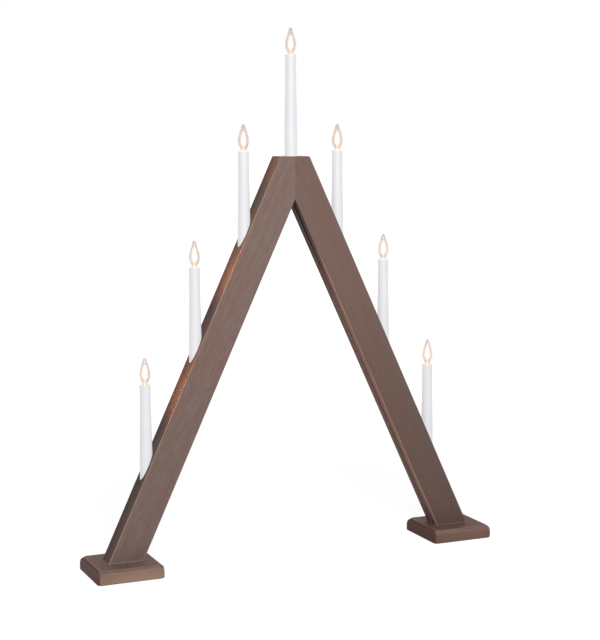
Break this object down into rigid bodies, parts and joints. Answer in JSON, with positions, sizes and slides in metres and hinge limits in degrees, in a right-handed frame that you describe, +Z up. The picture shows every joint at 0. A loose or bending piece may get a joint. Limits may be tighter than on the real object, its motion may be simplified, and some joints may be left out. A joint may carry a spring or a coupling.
{
  "type": "candle arch",
  "caption": "Wooden electric candle arch: two leaning legs mitred at the top, square feet, and tapered white candles with flame bulbs that unscrew.",
  "frame": {"origin": "on the floor, midway between the two feet", "axes": "+X to the right across the arch, +Y to the back, +Z up"},
  "size_m": [0.65, 0.1, 0.8],
  "materials": {
    "stained_wood": "grey-brown stain, fine grain along the bar, worn pale on the edges",
    "candle_white": "smooth moulded, satin",
    "holder_plastic": "moulded, matt",
    "lamp_brass": "thin drawn sheet, bright",
    "solder": "dull solder",
    "lamp_glass": "clear, lit from inside",
    "filament": "glowing wire",
    "wire_insulation": "smooth insulation",
    "clip_plastic": "moulded, matt",
    "screw_steel": "zinc plated",
    "dowel_wood": "plain hardwood"
  },
  "bodies": {
    "root": {"left_leg": "stained_wood", "right_leg": "stained_wood", "left_foot": "stained_wood", "right_foot": "stained_wood", "candle_sleeve_1": "candle_white", "candle_sleeve_2": "candle_white", "candle_sleeve_3": "candle_white", "candle_sleeve_4": "candle_white", "candle_sleeve_5": "candle_white", "candle_sleeve_6": "candle_white", "candle_sleeve_7": "candle_white", "lamp_holder_1": "holder_plastic", "lamp_holder_2": "holder_plastic", "lamp_holder_3": "holder_plastic", "lamp_holder_4": "holder_plastic", "lamp_holder_5": "holder_plastic", "lamp_holder_6": "holder_plastic", "lamp_holder_7": "holder_plastic", "holder_shell_1": "lamp_brass", "holder_shell_2": "lamp_brass", "holder_shell_3": "lamp_brass", "holder_shell_4": "lamp_brass", "holder_shell_5": "lamp_brass", "holder_shell_6": "lamp_brass", "holder_shell_7": "lamp_brass", "holder_contacts": "lamp_brass", "wiring_harness": "wire_insulation", "cable_clips": "clip_plastic", "foot_screws": "screw_steel", "mitre_dowels": "dowel_wood"},
    "bulb_1_lift": {"bulb_contact_1": "solder"},
    "bulb_1": {"bulb_cap_1": "lamp_brass", "bulb_glass_1": "lamp_glass", "bulb_filament_1": "filament"},
    "bulb_2_lift": {"bulb_contact_2": "solder"},
    "bulb_2": {"bulb_cap_2": "lamp_brass", "bulb_glass_2": "lamp_glass", "bulb_filament_2": "filament"},
    "bulb_3_lift": {"bulb_contact_3": "solder"},
    "bulb_3": {"bulb_cap_3": "lamp_brass", "bulb_glass_3": "lamp_glass", "bulb_filament_3": "filament"},
    "bulb_4_lift": {"bulb_contact_4": "solder"},
    "bulb_4": {"bulb_cap_4": "lamp_brass", "bulb_glass_4": "lamp_glass", "bulb_filament_4": "filament"},
    "bulb_5_lift": {"bulb_contact_5": "solder"},
    "bulb_5": {"bulb_cap_5": "lamp_brass", "bulb_glass_5": "lamp_glass", "bulb_filament_5": "filament"},
    "bulb_6_lift": {"bulb_contact_6": "solder"},
    "bulb_6": {"bulb_cap_6": "lamp_brass", "bulb_glass_6": "lamp_glass", "bulb_filament_6": "filament"},
    "bulb_7_lift": {"bulb_contact_7": "solder"},
    "bulb_7": {"bulb_cap_7": "lamp_brass", "bulb_glass_7": "lamp_glass", "bulb_filament_7": "filament"}
  },
  "joints": [
    {"name": "bulb_1_rise", "type": "slide", "parent": "root", "child": "bulb_1_lift", "axis": [0, 0, 1], "range_m": [0, 0.0096]},
    {"name": "bulb_1_turn", "type": "hinge", "parent": "bulb_1_lift", "child": "bulb_1", "pos_m": [-0.23411, 0, 0.28051], "axis": [0, 0, 1], "range_deg": [0, 1890]},
    {"name": "bulb_2_rise", "type": "slide", "parent": "root", "child": "bulb_2_lift", "axis": [0, 0, 1], "range_m": [0, 0.0096]},
    {"name": "bulb_2_turn", "type": "hinge", "parent": "bulb_2_lift", "child": "bulb_2", "pos_m": [-0.15525, 0, 0.44959], "axis": [0, 0, 1], "range_deg": [0, 1890]},
    {"name": "bulb_3_rise", "type": "slide", "parent": "root", "child": "bulb_3_lift", "axis": [0, 0, 1], "range_m": [0, 0.0096]},
    {"name": "bulb_3_turn", "type": "hinge", "parent": "bulb_3_lift", "child": "bulb_3", "pos_m": [-0.07639, 0, 0.61866], "axis": [0, 0, 1], "range_deg": [0, 1890]},
    {"name": "bulb_4_rise", "type": "slide", "parent": "root", "child": "bulb_4_lift", "axis": [0, 0, 1], "range_m": [0, 0.0096]},
    {"name": "bulb_4_turn", "type": "hinge", "parent": "bulb_4_lift", "child": "bulb_4", "pos_m": [0, 0, 0.7605], "axis": [0, 0, 1], "range_deg": [0, 1890]},
    {"name": "bulb_5_rise", "type": "slide", "parent": "root", "child": "bulb_5_lift", "axis": [0, 0, 1], "range_m": [0, 0.0096]},
    {"name": "bulb_5_turn", "type": "hinge", "parent": "bulb_5_lift", "child": "bulb_5", "pos_m": [0.07639, 0, 0.61866], "axis": [0, 0, 1], "range_deg": [0, 1890]},
    {"name": "bulb_6_rise", "type": "slide", "parent": "root", "child": "bulb_6_lift", "axis": [0, 0, 1], "range_m": [0, 0.0096]},
    {"name": "bulb_6_turn", "type": "hinge", "parent": "bulb_6_lift", "child": "bulb_6", "pos_m": [0.15525, 0, 0.44959], "axis": [0, 0, 1], "range_deg": [0, 1890]},
    {"name": "bulb_7_rise", "type": "slide", "parent": "root", "child": "bulb_7_lift", "axis": [0, 0, 1], "range_m": [0, 0.0096]},
    {"name": "bulb_7_turn", "type": "hinge", "parent": "bulb_7_lift", "child": "bulb_7", "pos_m": [0.23411, 0, 0.28051], "axis": [0, 0, 1], "range_deg": [0, 1890]}
  ],
  "couplings": [
    {"joint": "bulb_1_rise", "follows": "bulb_1_turn", "m_per_rad": 0.00028875},
    {"joint": "bulb_2_rise", "follows": "bulb_2_turn", "m_per_rad": 0.00028875},
    {"joint": "bulb_3_rise", "follows": "bulb_3_turn", "m_per_rad": 0.00028875},
    {"joint": "bulb_4_rise", "follows": "bulb_4_turn", "m_per_rad": 0.00028875},
    {"joint": "bulb_5_rise", "follows": "bulb_5_turn", "m_per_rad": 0.00028875},
    {"joint": "bulb_6_rise", "follows": "bulb_6_turn", "m_per_rad": 0.00028875},
    {"joint": "bulb_7_rise", "follows": "bulb_7_turn", "m_per_rad": 0.00028875}
  ]
}
